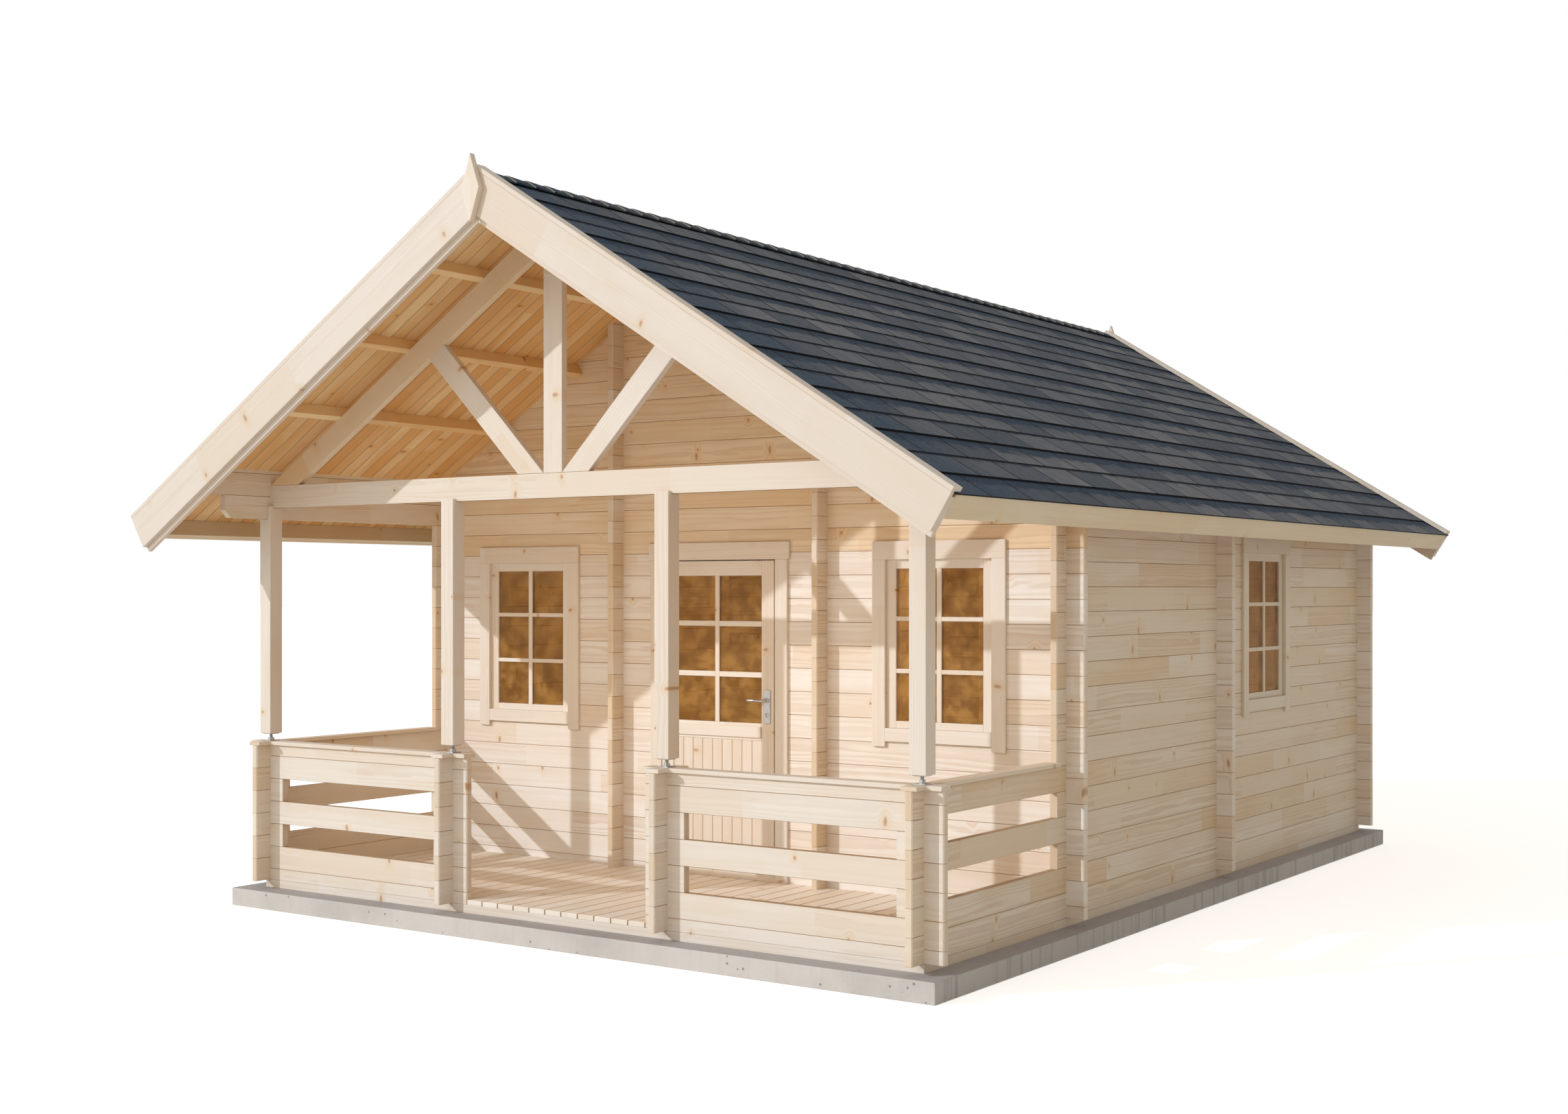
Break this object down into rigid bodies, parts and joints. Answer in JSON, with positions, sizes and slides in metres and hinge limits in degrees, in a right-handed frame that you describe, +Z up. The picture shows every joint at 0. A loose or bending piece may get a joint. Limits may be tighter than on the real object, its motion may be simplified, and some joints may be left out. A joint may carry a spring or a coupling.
{
  "type": "log garden house",
  "caption": "Timber garden house of interlocking planed logs, with a covered front porch, log railings, an open roof truss and a shingled gable roof",
  "frame": {"origin": "underside of the slab, at the centre of the bounding box", "axes": "+Z up, +X to the right along the front, +Y from the porch to the back"},
  "size_m": [5.7708, 7.932, 4.2531],
  "materials": {
    "spruce_logs": "planed natural spruce, matt",
    "planed_spruce": "planed natural spruce, matt",
    "honey_boards": "natural pine boards, matt",
    "floor_boards": "planed floor boards, matt",
    "door_and_windows": "clear-treated joinery, satin",
    "shingles": "bitumen shingles with mineral granules",
    "glass": "clear double glazing",
    "satin_steel": "satin",
    "concrete": "cast concrete, matt"
  },
  "bodies": {
    "house": {"foundation_slab": "concrete", "ground_beams": "planed_spruce", "room_floor": "floor_boards", "porch_floor": "floor_boards", "front_wall_left": "spruce_logs", "front_wall_right": "spruce_logs", "front_gable": "spruce_logs", "rear_wall": "spruce_logs", "left_wall": "spruce_logs", "right_wall": "spruce_logs", "wall_plates": "spruce_logs", "cross_wall": "spruce_logs", "hall_walls": "spruce_logs", "left_rail": "spruce_logs", "right_rail": "spruce_logs", "front_rail_left": "spruce_logs", "front_rail_right": "spruce_logs", "entrance_log_ends": "spruce_logs", "porch_posts": "planed_spruce", "post_screws": "satin_steel", "tie_beam": "spruce_logs", "king_post": "planed_spruce", "truss_struts": "planed_spruce", "truss_rafters": "planed_spruce", "purlins": "planed_spruce", "ridge_beam": "planed_spruce", "roof_boards_left": "honey_boards", "roof_boards_right": "honey_boards", "shingles_left": "shingles", "shingles_right": "shingles", "ridge_shingles": "shingles", "front_barge_boards": "planed_spruce", "rear_barge_boards": "planed_spruce", "ridge_finials": "planed_spruce", "eaves_boards": "planed_spruce", "front_windows": "door_and_windows", "side_windows": "door_and_windows", "rear_window": "door_and_windows", "window_glass": "glass", "door_frame": "door_and_windows", "hinge_pins": "satin_steel"},
    "front_door": {"door_leaf": "door_and_windows", "door_glass": "glass", "door_handles": "satin_steel", "hinge_knuckles": "satin_steel"}
  },
  "joints": [
    {"name": "front_door_hinge", "type": "hinge", "parent": "house", "child": "front_door", "pos_m": [-0.4335, -1.8035, 1.158], "axis": [0, 0, -1], "range_deg": [0, 110]}
  ]
}
